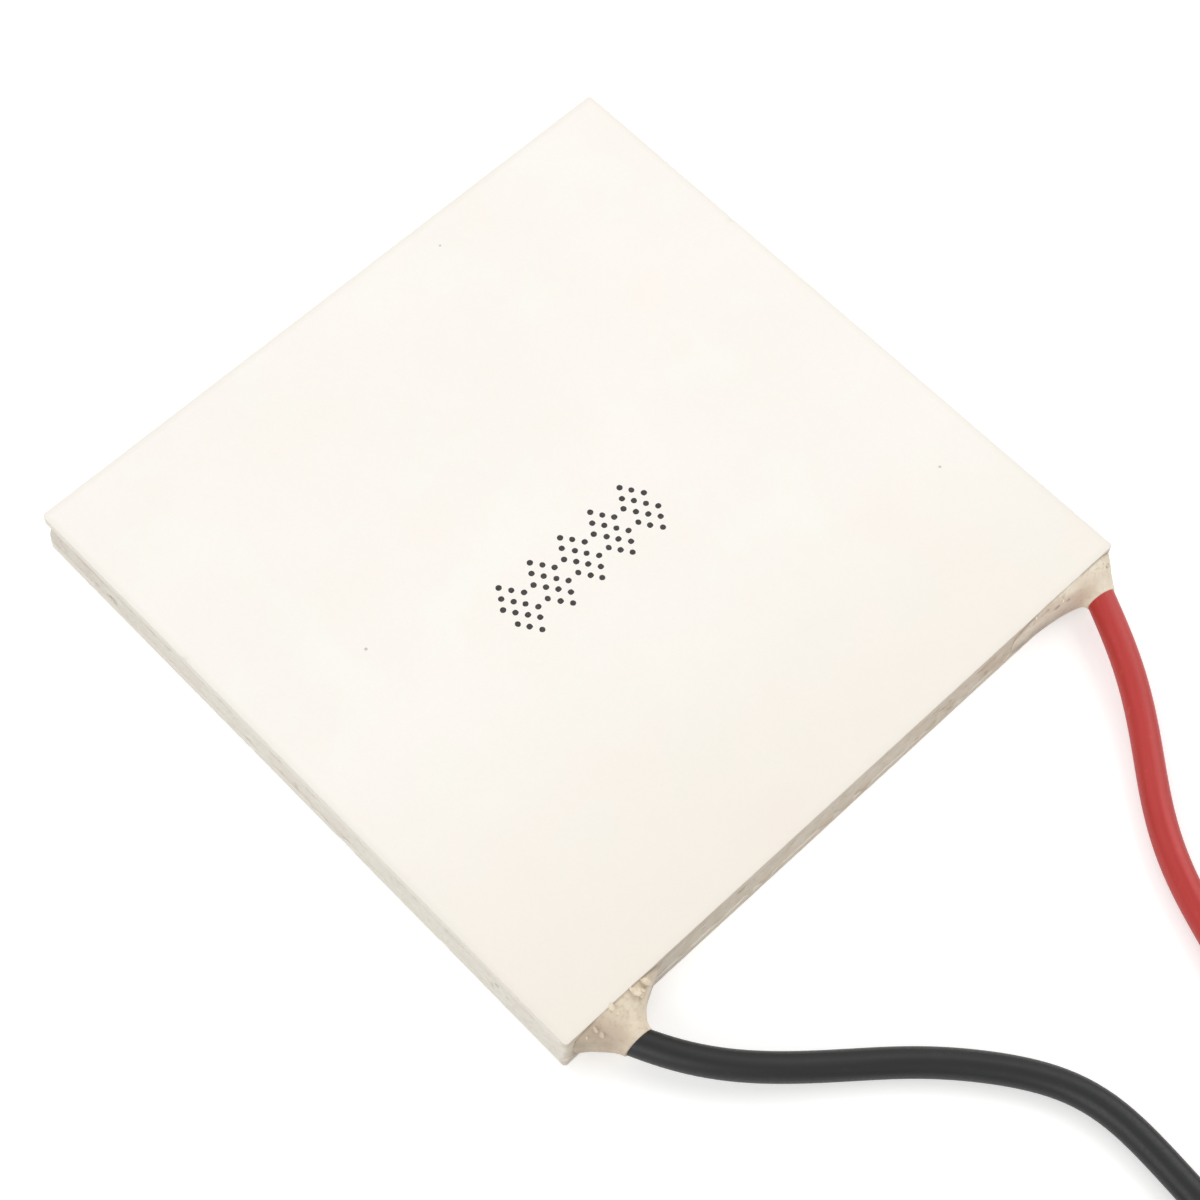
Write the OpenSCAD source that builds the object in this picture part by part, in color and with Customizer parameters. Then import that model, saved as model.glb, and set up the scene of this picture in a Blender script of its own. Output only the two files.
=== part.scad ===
// Thermoelectric cooling module: 127 couples between two alumina plates, with two flying leads.
// The origin is the centre of the hot plate's outer face, +Z points to the cold plate,
// and the leads leave the side at -Y: black near -X, red near +X.

/* [Ceramic plates] */
// Side of the module along X
module_x = 40; // [37:0.5:42]
// Side of the module along Y
module_y = 40; // [37:0.5:42]
// Thickness of the hot plate
hot_plate_t = 0.65; // [0.5:0.05:1]
// Thickness of the cold plate
cold_plate_t = 0.65; // [0.5:0.05:1]
// Corner radius of both plates
plate_corner_r = 0.25; // [0.1:0.05:0.4]

/* [Couples] */
// Places for legs along each side
legs_per_side = 16; // [12:2:16]
// Width of a square semiconductor leg
leg_w = 1.4; // [1:0.1:1.5]
// Height of a leg
leg_h = 1.24; // [1:0.02:1.6]
// Thickness of a solder layer
solder_t = 0.08; // [0.05:0.01:0.12]
// How far the solder spreads past each side of a leg
solder_spread = 0.08; // [0.02:0.02:0.12]
// Width of a copper tab
tab_w = 1.8; // [1.75:0.05:1.9]
// Thickness of a copper tab
tab_t = 0.3; // [0.2:0.05:0.4]
// Cut at each corner of a tab
tab_corner = 0.2; // [0.1:0.05:0.4]

/* [Sealant] */
// How far the bead sits back from the plates' edges
seal_recess = 0.15; // [0.05:0.05:0.3]
// Width of the bead between the plates
seal_w = 0.7; // [0.5:0.05:0.8]
// Clear gap between the bead and the outermost tabs
seal_gap = 0.2; // [0.1:0.05:0.3]
// How far a lead's lump stays short of each plate's outer face
lump_inset = 0.3; // [0.1:0.05:0.5]
// Skin of sealant round a lead at the lump's mouth
lump_skin = 0.1; // [0.05:0.05:0.2]

/* [Leads] */
// Diameter over the insulation
lead_d = 1.6; // [1.4:0.1:1.8]
// Diameter of the stranded conductor
conductor_d = 0.76; // [0.6:0.02:0.9]
// Length of each lead's insulation
lead_len = 200; // [170:5:220]
// Bare, tinned length at each outer end
tip_len = 6; // [4:0.5:8]
// Depth of the insulation in its lump
lead_embed = 0.9; // [0.6:0.1:1]
// How far the bare conductor runs straight behind the insulation before its bend
wire_back = 0.7; // [0.5:0.05:0.8]
// Bend radius of the bare conductor inside the module
wire_bend_r = 0.8; // [0.6:0.1:1]
// Solder left between a terminal tab and its conductor
wire_film = 0.07; // [0.05:0.01:0.1]
// Foot radius of a terminal's solder joint
joint_foot_r = 0.85; // [0.7:0.05:0.85]
// Top radius of a terminal's solder joint
joint_top_r = 0.5; // [0.4:0.05:0.6]
// Solder above the conductor in a terminal's joint
joint_cap = 0.15; // [0.05:0.05:0.2]

/* [Coils] */
// Radius at which a coil's outermost turn starts
coil_start_r = 11.2; // [11:0.2:13]
// Radius of the bend in a lead's bare outer end
tip_bend_r = 3.5; // [3:0.25:4]
// Width of a tie
tie_w = 2.4; // [1.5:0.1:4]
// Thickness of a tie
tie_t = 0.2; // [0.1:0.05:0.3]
// Length of a tie's twisted ends
tie_twist_len = 5; // [3:0.5:6]

/* [Hidden] */
$fn = 48;

// Heights of the stack, from the floor up
hot_tab_z = hot_plate_t;
hot_solder_z = hot_tab_z + tab_t;
leg_z = hot_solder_z + solder_t;
cold_solder_z = leg_z + leg_h;
cold_tab_z = cold_solder_z + solder_t;
cold_plate_z = cold_tab_z + tab_t;
module_h = cold_plate_z + cold_plate_t;
gap_h = cold_plate_z - hot_plate_t;

// The legs stand on a square grid that ends inside the bead
last = legs_per_side - 1;
bands = legs_per_side / 2;
edge_margin = seal_recess + seal_w + seal_gap;
pitch_x = (module_x - 2 * edge_margin - tab_w) / last;
pitch_y = (module_y - 2 * edge_margin - tab_w) / last;

function col_x(c) = (c - last / 2) * pitch_x;
function row_y(r) = (r - last / 2) * pitch_y;
function has_leg(c, r) = r > 0 || (c > 0 && c < last);
function is_p(c, r) = (c + r) % 2 == 1;

// Leads: corner of the module, sign of the coil's turn and colour of each
exit_z = hot_solder_z + wire_film + conductor_d / 2;
exit_lift = exit_z - lead_d / 2;
black_corner = [-module_x / 2, -module_y / 2];
red_corner = [module_x / 2, -module_y / 2];
black_turn = -1;
red_turn = 1;
black = [0.16, 0.17, 0.18];
red = [0.78, 0.22, 0.2];
tin = [0.78, 0.78, 0.76];

// Each route's points are X and Y from the module's corner and the lift of the lead's
// underside from the floor. The first two lie on the straight line out of the lump.
black_route = [
    [2.8, -1, exit_lift], [3.7, -3, exit_lift], [4.85, -4.75, 0.55], [6.15, -6.3, 0.45],
    [7.6, -7.65, 0.3], [9.1, -8.95, 0.15], [10.6, -10.2, 0.05], [12.15, -11.45, 0],
    [13.55, -12.85, 0], [14.8, -14.4, 0], [16, -15.95, 0], [17.05, -17.7, 0],
    [17.7, -19.7, 0], [17.75, -21, 0], [17.6, -22.5, 0], [17.6, -23.8, 0],
    [17.5, -25, 0], [17.4, -26.1, 0], [17.25, -27.9, 0.05], [17.05, -30.1, 0.1],
    [16.85, -32.3, 0.15]
];
red_route = [
    [-1.5, -0.4, exit_lift], [-2.65, -2.7, exit_lift], [-3.2, -3.8, 0.55], [-3.7, -4.8, 0.5],
    [-4.35, -5.8, 0.4], [-5, -6.7, 0.3], [-5.65, -7.6, 0.2], [-6.3, -8.5, 0.1],
    [-7, -9.3, 0.05], [-7.75, -10.15, 0], [-8.45, -11, 0], [-9.05, -11.95, 0],
    [-9.7, -12.85, 0], [-10.25, -13.85, 0], [-10.75, -14.85, 0], [-11.15, -15.95, 0],
    [-11.45, -16.8, 0], [-12.1, -18.6, 0.05], [-12.8, -20.5, 0.1], [-13.5, -22.4, 0.15]
];
// Centre of each coil from the module's corner, and the angle where its outermost turn starts
black_coil_at = [5.5, -33.6];
red_coil_at = [-3.7, -28.1];
black_coil_from = -5;
red_coil_from = 160;

coil_z = tie_t + lead_d / 2;

// Plan of a lump: where it starts and ends along the side from the module's corner,
// and how hollow each flank is (1 is straight)
black_lump = [0.6, 6.4, 1.1, 2.2];
red_lump = [-7.6, -0.25, 2.8, 1];
lump_rings = 6;
lump_sides = 24;
lead_sides = 8;
wire_sides = 12;
wire_bend_steps = 5;

function unit(v) = v / norm(v);
function flat(p) = [p[0], p[1]];
function heading(v) = atan2(v[1], v[0]);
function side_of(v) = [-v[1], v[0]];
function mix(a, b, t) = a + (b - a) * t;

function exit_dir(route) = unit(flat(route[1]) - flat(route[0]));
function insulation_end(route, corner) = corner + flat(route[0]);
function mouth(route, corner) = insulation_end(route, corner) + lead_embed * exit_dir(route);

// A route as points in the module's frame, with the coil's start as its last point
function coil_start(corner, at, from) =
    concat(corner + at + coil_start_r * [cos(from), sin(from)], coil_z);
function lead_point(p, corner) = [corner[0] + p[0], corner[1] + p[1], lead_d / 2 + p[2]];
function lead_points(route, corner, at, from) =
    concat([for (p = route) lead_point(p, corner)], [coil_start(corner, at, from)]);
function path_len(p, i = 0) = i >= len(p) - 1 ? 0 : norm(p[i + 1] - p[i]) + path_len(p, i + 1);

// A flat spiral that closes in by one diameter a turn: its end radius and its angle in degrees
function coil_end_r(coil_len) = sqrt(coil_start_r * coil_start_r - lead_d * coil_len / PI);
function coil_angle(coil_len) = (coil_start_r - coil_end_r(coil_len)) * 360 / lead_d;

black_path = lead_points(black_route, black_corner, black_coil_at, black_coil_from);
red_path = lead_points(red_route, red_corner, red_coil_at, red_coil_from);
black_coil_len = lead_len - path_len(black_path);
red_coil_len = lead_len - path_len(red_path);

// Every piece below is drawn in place

module plate_outline() {
    r = plate_corner_r;
    square([module_x - 2 * r, module_y], center = true);
    square([module_x, module_y - 2 * r], center = true);
    for (x = [-1, 1], y = [-1, 1])
        translate([x * (module_x / 2 - r), y * (module_y / 2 - r)]) circle(r);
}

module hot_plate() {
    color([0.95, 0.93, 0.89]) linear_extrude(hot_plate_t) plate_outline();
}

module cold_plate() {
    color([0.97, 0.95, 0.91])
        translate([0, 0, cold_plate_z]) linear_extrude(cold_plate_t) plate_outline();
}

// A copper tab that joins two neighbouring legs, centred on the first of them
module tab(c, r, along_x) {
    long = (along_x ? pitch_x : pitch_y) + tab_w;
    size = along_x ? [long, tab_w] : [tab_w, long];
    shift = along_x ? [pitch_x / 2, 0] : [0, pitch_y / 2];
    h = size / 2;
    k = tab_corner;
    translate(concat([col_x(c), row_y(r)] + shift, 0)) linear_extrude(tab_t)
        polygon([
            [h[0] - k, -h[1]], [h[0], -h[1] + k], [h[0], h[1] - k], [h[0] - k, h[1]],
            [-h[0] + k, h[1]], [-h[0], h[1] - k], [-h[0], -h[1] + k], [-h[0] + k, -h[1]]
        ]);
}

// Band i of the hot side joins rows 2i-2 and 2i-1; its two corner tabs in band 1 are the terminals
module hot_tabs(i) {
    color([0.8, 0.5, 0.32]) translate([0, 0, hot_tab_z])
        for (c = [0:last]) tab(c, 2 * i - 2, false);
}

// Band i of the cold side joins rows 2i-1 and 2i
module cold_tabs(i) {
    color([0.8, 0.5, 0.32]) translate([0, 0, cold_tab_z])
        for (c = [0:last]) tab(c, 2 * i - 1, false);
}

module cold_turns_lead_side() {
    color([0.8, 0.5, 0.32]) translate([0, 0, cold_tab_z])
        for (c = [1:2:last - 2]) tab(c, 0, true);
}

module cold_turns_far_side() {
    color([0.8, 0.5, 0.32]) translate([0, 0, cold_tab_z])
        for (c = [0:2:last - 1]) tab(c, last, true);
}

// Every leg of one kind in rows 2i-2 and 2i-1
module legs(i, p) {
    for (r = [2 * i - 2, 2 * i - 1], c = [0:last])
        if (has_leg(c, r) && is_p(c, r) == p)
            translate([col_x(c) - leg_w / 2, row_y(r) - leg_w / 2, leg_z])
                cube([leg_w, leg_w, leg_h]);
}

module p_legs(i) {
    color([0.42, 0.44, 0.47]) legs(i, true);
}

module n_legs(i) {
    color([0.55, 0.56, 0.58]) legs(i, false);
}

module solder_layer(z) {
    w = leg_w + 2 * solder_spread;
    for (r = [0:last], c = [0:last])
        if (has_leg(c, r))
            translate([col_x(c) - w / 2, row_y(r) - w / 2, z]) cube([w, w, solder_t]);
}

module hot_solder() {
    color(tin) solder_layer(hot_solder_z);
}

module cold_solder() {
    color(tin) solder_layer(cold_solder_z);
}

// The bare conductor's line: from the insulation's end back along the lead's own line,
// round one bend, and over its terminal tab
function wire_points(route, corner, col) =
    let (
        from = insulation_end(route, corner),
        bend = from - wire_back * exit_dir(route),
        over = [col_x(col), row_y(0)],
        d1 = unit(bend - from),
        d2 = unit(over - bend),
        turn = heading([d1 * d2, side_of(d1) * d2]),
        cut = wire_bend_r * tan(abs(turn) / 2),
        centre = bend - cut * d1 + sign(turn) * wire_bend_r * side_of(d1),
        start = heading(bend - cut * d1 - centre)
    )
    concat(
        [concat(from, exit_z)],
        [for (k = [0:wire_bend_steps])
            let (a = start + turn * k / wire_bend_steps)
            concat(centre + wire_bend_r * [cos(a), sin(a)], exit_z)
        ],
        [concat(over + joint_top_r * d2, exit_z)]
    );

// A closed skin over rings that all have the same number of points
module skin(rings) {
    n = len(rings[0]);
    m = len(rings);
    polyhedron(
        [for (ring = rings, p = ring) p],
        concat(
            [[for (i = [0:n - 1]) i]],
            [for (j = [0:m - 2], i = [0:n - 1])
                each [
                    [j * n + i, (j + 1) * n + i, j * n + (i + 1) % n],
                    [(j + 1) * n + i, (j + 1) * n + (i + 1) % n, j * n + (i + 1) % n]
                ]
            ],
            [[for (i = [n - 1:-1:0]) (m - 1) * n + i]]
        )
    );
}

// A tube with one ring of flat sides at each point of a path
module tube(points, d, sides) {
    m = len(points);
    skin([for (j = [0:m - 1])
        let (
            t = unit(points[min(j + 1, m - 1)] - points[max(j - 1, 0)]),
            across = unit(cross([0, 0, 1], t)),
            up = cross(t, across)
        )
        [for (i = [0:sides - 1])
            points[j] + d / 2 * (cos(i * 360 / sides) * across + sin(i * 360 / sides) * up)
        ]
    ]);
}

module bare_wire(route, corner, col) {
    tube(wire_points(route, corner, col), conductor_d, wire_sides);
}

module black_lead_end() {
    color(tin) bare_wire(black_route, black_corner, 0);
}

module red_lead_end() {
    color(tin) bare_wire(red_route, red_corner, last);
}

// A cone of solder that holds a bare conductor down on its terminal tab
module solder_joint(col) {
    h = exit_z + conductor_d / 2 + joint_cap - hot_solder_z;
    translate([col_x(col), row_y(0), hot_solder_z])
        cylinder(r1 = joint_foot_r, r2 = joint_top_r, h = h);
}

module black_solder_joint() {
    color(tin) difference() {
        solder_joint(0);
        bare_wire(black_route, black_corner, 0);
    }
}

module red_solder_joint() {
    color(tin) difference() {
        solder_joint(last);
        bare_wire(red_route, red_corner, last);
    }
}

// One ring of a lump at t from 0 at the plates' side to 1 at the mouth. Its flanks close in
// on the lead, and its section goes from a rounded slab to a circle.
function lump_ring(t, route, corner, plan) =
    let (
        end = mouth(route, corner),
        r = lead_d / 2 + lump_skin,
        across = unit(mix([1, 0], side_of(exit_dir(route)), t)),
        left = mix(corner[0] + plan[0], end[0] - r, 1 - pow(1 - t, plan[2])),
        right = mix(corner[0] + plan[1], end[0] + r, 1 - pow(1 - t, plan[3])),
        low = mix(lump_inset, exit_z - r, t),
        high = mix(module_h - lump_inset, exit_z + r, t),
        power = mix(0.5, 1, t)
    )
    [for (i = [0:lump_sides - 1])
        let (
            a = (i + 0.5) * 360 / lump_sides,
            u = sign(cos(a)) * pow(abs(cos(a)), power) * (right - left) / 2,
            v = sign(sin(a)) * pow(abs(sin(a)), power) * (high - low) / 2
        )
        concat(
            [(left + right) / 2, mix(corner[1], end[1], t)] + u * across,
            (low + high) / 2 + v
        )
    ];

// A lump runs from the middle of the bead out to its mouth, and is cut back by both plates
module lump(route, corner, plan) {
    inner = [for (p = lump_ring(0, route, corner, plan)) p + [0, seal_recess + seal_w / 2, 0]];
    outer = [for (j = [0:lump_rings]) lump_ring(j / lump_rings, route, corner, plan)];
    difference() {
        skin(concat([inner], outer));
        translate([-module_x / 2, -module_y / 2, 0]) {
            cube([module_x, module_y, hot_plate_t]);
            translate([0, 0, cold_plate_z]) cube([module_x, module_y, cold_plate_t]);
        }
    }
}

// The bead between the plates' edges
module bead() {
    outer = [module_x, module_y] - 2 * [seal_recess, seal_recess];
    inner = outer - 2 * [seal_w, seal_w];
    translate([0, 0, hot_plate_t]) linear_extrude(gap_h) difference() {
        square(outer, center = true);
        square(inner, center = true);
    }
}

// What a lead takes out of its lump: a seat for the insulation and a way for the conductor
module lead_way(route, corner, col) {
    tube([for (i = [0:2]) lead_point(route[i], corner)], lead_d, lead_sides);
    bare_wire(route, corner, col);
}

module sealant() {
    color([0.84, 0.81, 0.75]) difference() {
        union() {
            bead();
            lump(black_route, black_corner, black_lump);
            lump(red_route, red_corner, red_lump);
        }
        lead_way(black_route, black_corner, 0);
        lead_way(red_route, red_corner, last);
    }
}

module black_lead() {
    color(black) tube(black_path, lead_d, lead_sides);
}

module red_lead() {
    color(red) tube(red_path, lead_d, lead_sides);
}

// Section of a coil's turns lying side by side, grown by a margin
module coil_section(coil_len, grow) {
    inner = coil_end_r(coil_len);
    r = lead_d / 2 + grow;
    translate([inner, -r]) square([coil_start_r - inner, 2 * r]);
    translate([inner, 0]) circle(r);
    translate([coil_start_r, 0]) circle(r);
}

module coil(corner, at, coil_len) {
    translate([corner[0] + at[0], corner[1] + at[1], coil_z])
        rotate_extrude() coil_section(coil_len, 0);
}

module black_lead_coil() {
    color(black) coil(black_corner, black_coil_at, black_coil_len);
}

module red_lead_coil() {
    color(red) coil(red_corner, red_coil_at, red_coil_len);
}

// A wrapped tie with its two ends twisted together and laid over the turns
module coil_tie(corner, at, from, coil_len) {
    middle = (coil_start_r + coil_end_r(coil_len)) / 2;
    angle = tie_w / middle * 180 / PI;
    translate([corner[0] + at[0], corner[1] + at[1], coil_z]) rotate([0, 0, from + 180]) {
        rotate([0, 0, -angle / 2]) rotate_extrude(angle = angle) difference() {
            coil_section(coil_len, tie_t);
            coil_section(coil_len, 0);
        }
        translate([middle - tie_twist_len / 2, 0, lead_d / 2 + tie_t + tie_w / 8])
            rotate([0, 90, 0]) cylinder(d = tie_w / 3, h = tie_twist_len);
    }
}

module black_coil_tie() {
    color([0.9, 0.9, 0.88]) coil_tie(black_corner, black_coil_at, black_coil_from, black_coil_len);
}

module red_coil_tie() {
    color([0.9, 0.9, 0.88]) coil_tie(red_corner, red_coil_at, red_coil_from, red_coil_len);
}

// The bare outer end, curled into the middle of the coil
module lead_tip(corner, at, from, coil_len, turn) {
    curl = tip_len / tip_bend_r * 180 / PI;
    translate([corner[0] + at[0], corner[1] + at[1], coil_z])
        rotate([0, 0, from + turn * coil_angle(coil_len)])
            translate([coil_end_r(coil_len) - tip_bend_r, 0]) rotate([0, 0, turn > 0 ? 0 : -curl])
                rotate_extrude(angle = curl) translate([tip_bend_r, 0]) circle(d = conductor_d);
}

module black_lead_tip() {
    color(tin) lead_tip(black_corner, black_coil_at, black_coil_from, black_coil_len, black_turn);
}

module red_lead_tip() {
    color(tin) lead_tip(red_corner, red_coil_at, red_coil_from, red_coil_len, red_turn);
}

hot_plate();
cold_plate();
sealant();
for (i = [1:bands]) hot_tabs(i);
for (i = [1:bands - 1]) cold_tabs(i);
cold_turns_lead_side();
cold_turns_far_side();
for (i = [1:bands]) p_legs(i);
for (i = [1:bands]) n_legs(i);
hot_solder();
cold_solder();
black_lead_end();
red_lead_end();
black_solder_joint();
red_solder_joint();
black_lead();
black_lead_coil();
black_coil_tie();
black_lead_tip();
red_lead();
red_lead_coil();
red_coil_tie();
red_lead_tip();
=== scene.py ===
import math

import bpy
import numpy as np
from mathutils import Euler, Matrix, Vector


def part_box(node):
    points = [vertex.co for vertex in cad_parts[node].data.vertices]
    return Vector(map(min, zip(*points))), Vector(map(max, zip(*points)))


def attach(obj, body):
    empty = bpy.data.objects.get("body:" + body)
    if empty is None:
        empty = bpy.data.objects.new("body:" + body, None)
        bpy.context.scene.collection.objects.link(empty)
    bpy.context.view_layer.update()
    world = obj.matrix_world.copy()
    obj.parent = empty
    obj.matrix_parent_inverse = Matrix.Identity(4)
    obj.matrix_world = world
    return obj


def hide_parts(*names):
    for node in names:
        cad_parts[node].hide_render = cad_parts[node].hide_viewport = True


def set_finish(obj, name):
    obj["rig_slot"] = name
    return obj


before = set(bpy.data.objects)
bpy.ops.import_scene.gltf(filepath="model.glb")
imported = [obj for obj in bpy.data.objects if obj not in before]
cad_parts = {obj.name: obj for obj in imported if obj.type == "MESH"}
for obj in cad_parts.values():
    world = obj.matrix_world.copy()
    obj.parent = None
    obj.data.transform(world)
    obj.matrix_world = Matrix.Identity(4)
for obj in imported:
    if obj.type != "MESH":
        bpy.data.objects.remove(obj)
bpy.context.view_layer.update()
mm = 0.001

print("stage: camera")
camera = {
    "place": (-50.469 * mm, -49.461 * mm, 134.812 * mm),
    "turn": (26.8274, -1.3774, -43.9263),  # degrees about x, y and z
    "lens": 84.915,  # in millimetres, as the sensor is
    "sensor": 36.0,
    "near": 10 * mm,  # nearest and farthest that it sees
    "far": 10.0,
}
cameraData = bpy.data.cameras.new("camera")
cameraData.lens = camera["lens"]
cameraData.sensor_width = camera["sensor"]
cameraData.clip_start = camera["near"]
cameraData.clip_end = camera["far"]
cameraObject = bpy.data.objects.new("camera", cameraData)
cameraObject.location = camera["place"]
cameraObject.rotation_euler = Euler([math.radians(a) for a in camera["turn"]], "XYZ")
bpy.context.scene.collection.objects.link(cameraObject)
bpy.context.scene.camera = cameraObject


# Shapes: every piece is a grid of points that is worked out as one array

def unit(v):
    # v divided by its own length
    return v / np.linalg.norm(v, axis=-1, keepdims=True)


scatter = {
    "axes": (73856093, 19349663, 83492791),  # large primes for x, y and z
    "seed": 668265263,
    "mix": 1274126177,
    "range": 2 ** 24 - 1,
}


def cellValue(cell, seed):
    # A repeatable number from 0 to 1 for each whole-number cell: x, y, z and the seed times
    # large numbers, joined by exclusive or, folded over twice and cut to 24 bits
    x, y, z = (cell[..., k] * scatter["axes"][k] for k in range(3))
    h = x ^ y ^ z ^ (seed * scatter["seed"])
    h = (h ^ (h >> 13)) * scatter["mix"]
    return ((h ^ (h >> 16)) & scatter["range"]) / scatter["range"]


def smooth(t):
    # 3t squared - 2t cubed, which starts and stops gently between 0 and 1
    return t * t * (3 - 2 * t)


def uneven(points, size, seed):
    # Values at the corners of cells of the given size, blended smoothly over each cell;
    # runs from -1 to 1
    p = points / size
    cell = np.floor(p).astype(np.int64)
    t = smooth(p - cell)
    total = np.zeros(points.shape[:-1])
    for corner in np.ndindex(2, 2, 2):
        weight = np.prod(np.where(corner, t, 1 - t), axis=-1)
        total = total + weight * cellValue(cell + np.array(corner), seed)
    return 2 * total - 1


def layered(points, size, seed, octaves=3, most=1.6):
    # Each octave has half the size and half the height of the one before. The sum over its
    # usual greatest height runs from about -1 to 1.
    return sum(uneven(points, size / 2 ** k, seed + k) / 2 ** k for k in range(octaves)) / most


def ease(x, low, high):
    # 0 below low, 1 above high, and smooth between them
    return smooth(np.clip((x - low) / (high - low), 0, 1))


def patches(points, seed, size, low, high):
    # 1 where the noise of that size is above the high level, 0 where it is below the low one
    return ease(uneven(points, size, seed), low, high)


def compass(angle):
    # The cosine and the sine, side by side
    return np.stack([np.cos(angle), np.sin(angle)], axis=-1)


def sweep(path, profile, ahead=None):
    # Carries a closed profile along a path: a point is the path's own point, plus the two
    # numbers of profile[row, column] times the directions to its left and above it
    if ahead is None:
        ahead = unit(np.gradient(path, axis=0))
    left = unit(np.cross([0, 0, 1], ahead))
    up = np.cross(ahead, left)
    return path[:, None] + profile[..., :1] * left[:, None] + profile[..., 1:] * up[:, None]


def fullTurn(count):
    # Equal angles over one turn
    return np.arange(count) * 2 * math.pi / count


def rings(radii, sides):
    # A circle of each radius, going from the left of the path over its top
    return np.array(radii)[:, None, None] * compass(fullTurn(sides))


def putPiece(name, grids, sharp, alongClosed=False, marks=None):
    # Each grid[row, column] becomes quads between neighbours. Columns close on themselves and
    # run anticlockwise about the rows' direction, so the faces point outwards. Rows close on
    # themselves as well, or a cap closes each end. UV is in metres.
    points, faces, corners = [], [], []
    first = 0
    for grid in grids:
        rows, columns = grid.shape[:2]
        r = np.arange(rows if alongClosed else rows - 1)[:, None]
        c = np.arange(columns)[None, :]
        steps = [(0, 0), (0, 1), (1, 1), (1, 0)]
        quads = np.stack([(r + i) % rows * columns + (c + j) % columns for i, j in steps], -1)
        long = np.linalg.norm(np.diff(grid, axis=0), axis=-1).mean()
        wide = np.linalg.norm(np.diff(grid, axis=1), axis=-1).mean()
        uv = np.stack([np.stack(np.broadcast_arrays((c + j) * wide, (r + i) * long), -1)
                       for i, j in steps], -2)
        points.append(grid.reshape(-1, 3))
        faces += (quads.reshape(-1, 4) + first).tolist()
        corners.append(uv.reshape(-1, 2))
        if not alongClosed:
            last = first + (rows - 1) * columns
            faces += [list(range(first + columns - 1, first - 1, -1)),
                      list(range(last, last + columns))]
            corners.append(np.zeros((2 * columns, 2)))
        first += rows * columns
    mesh = bpy.data.meshes.new(name)
    mesh.from_pydata(np.concatenate(points).tolist(), [], faces)
    mesh.uv_layers.new(name="UVMap").data.foreach_set(
        "uv", np.concatenate(corners).astype(np.float32).ravel())
    for mark, values in (marks or {}).items():
        layer = mesh.attributes.new(mark, "FLOAT", "POINT")
        layer.data.foreach_set("value", np.asarray(values, np.float32).ravel())
    mesh.shade_smooth()
    mesh.set_sharp_from_angle(angle=math.radians(sharp))
    piece = bpy.data.objects.new(name, mesh)
    bpy.context.scene.collection.objects.link(piece)
    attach(piece, "root")
    return piece


def boxOf(node):
    # The lowest and the highest corner of a CAD node
    low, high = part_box(node)
    return np.array(low), np.array(high)


print("stage: leads")

coldLow, coldHigh = boxOf("cold_plate")
hotLow, hotHigh = boxOf("hot_plate")

lead = {
    "length": 200 * mm,  # of the insulation
    "thickness": 1.6 * mm,
    "wire": 0.76 * mm,  # thickness of the strands inside
    "coilRadius": 11.2 * mm,  # of the outermost turn
    "coilPoints": 30,  # for each turn
    "coilTurns": 4,  # more than the length reaches
    "curveSteps": 12,  # between two points of a route
    "sides": 20,
    "spacing": 0.5 * mm,
    "softness": 2.4 * mm,  # reach of the averaging that rounds its bends
    "embedded": 0.9 * mm,  # how much of its start is in the sealant
    "stiffness": "medium",
    # The cut end: how far past the line its four rings stand, the first two's share of the
    # lead's radius, and the last two's share of the wire
    "cutPast": (0.04 * mm, 0.06 * mm, 0.06 * mm, 0.02 * mm),
    "cutRim": (0.97, 0.86),
    "cutHollow": (1 / 2, 1 / 3),
}
# Offsets from the module's corner and of the lead's underside from the floor
blackRoute = np.array([
    [2.8, -1, 0.6], [3.7, -3, 0.6], [4.85, -4.75, 0.55], [6.15, -6.3, 0.45],
    [7.6, -7.65, 0.3], [9.1, -8.95, 0.15], [10.6, -10.2, 0.05], [12.15, -11.45, 0],
    [13.55, -12.85, 0], [14.8, -14.4, 0], [16, -15.95, 0], [17.05, -17.7, 0],
    [17.7, -19.7, 0], [17.75, -21, 0], [17.6, -22.5, 0], [17.6, -23.8, 0],
    [17.5, -25, 0], [17.4, -26.1, 0], [17.25, -27.9, 0.05], [17.05, -30.1, 0.1],
    [16.85, -32.3, 0.15]]) * mm
redRoute = np.array([
    [-1.5, -0.4, 0.6], [-2.65, -2.7, 0.6], [-3.2, -3.8, 0.55], [-3.7, -4.8, 0.5],
    [-4.35, -5.8, 0.4], [-5, -6.7, 0.3], [-5.65, -7.6, 0.2], [-6.3, -8.5, 0.1],
    [-7, -9.3, 0.05], [-7.75, -10.15, 0], [-8.45, -11, 0], [-9.05, -11.95, 0],
    [-9.7, -12.85, 0], [-10.25, -13.85, 0], [-10.75, -14.85, 0], [-11.15, -15.95, 0],
    [-11.45, -16.8, 0], [-12.1, -18.6, 0.05], [-12.8, -20.5, 0.1], [-13.5, -22.4, 0.15]]) * mm
# The coil starts from an angle in degrees, and turns clockwise where turn is -1
leads = {
    "black": {"corner": (coldLow[0], coldLow[1]), "route": blackRoute, "from": -5, "turn": -1},
    "red": {"corner": (coldHigh[0], coldLow[1]), "route": redRoute, "from": 160, "turn": 1},
}


def smoothLine(points, steps):
    # The cubic through each two neighbours whose slope at a point is half the chord
    # between the points on either side of it
    ends = np.vstack([2 * points[:1] - points[1:2], points, 2 * points[-1:] - points[-2:-1]])
    p0, p1, p2, p3 = (ends[k:len(ends) - 3 + k, None] for k in range(4))
    t = np.linspace(0, 1, steps, endpoint=False)[None, :, None]
    line = p1 + t / 2 * (p2 - p0 + t * (2 * p0 - 5 * p1 + 4 * p2 - p3
                                        + t * (3 * p1 - p0 - 3 * p2 + p3)))
    return np.vstack([line.reshape(-1, 3), points[-1:]])


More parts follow.
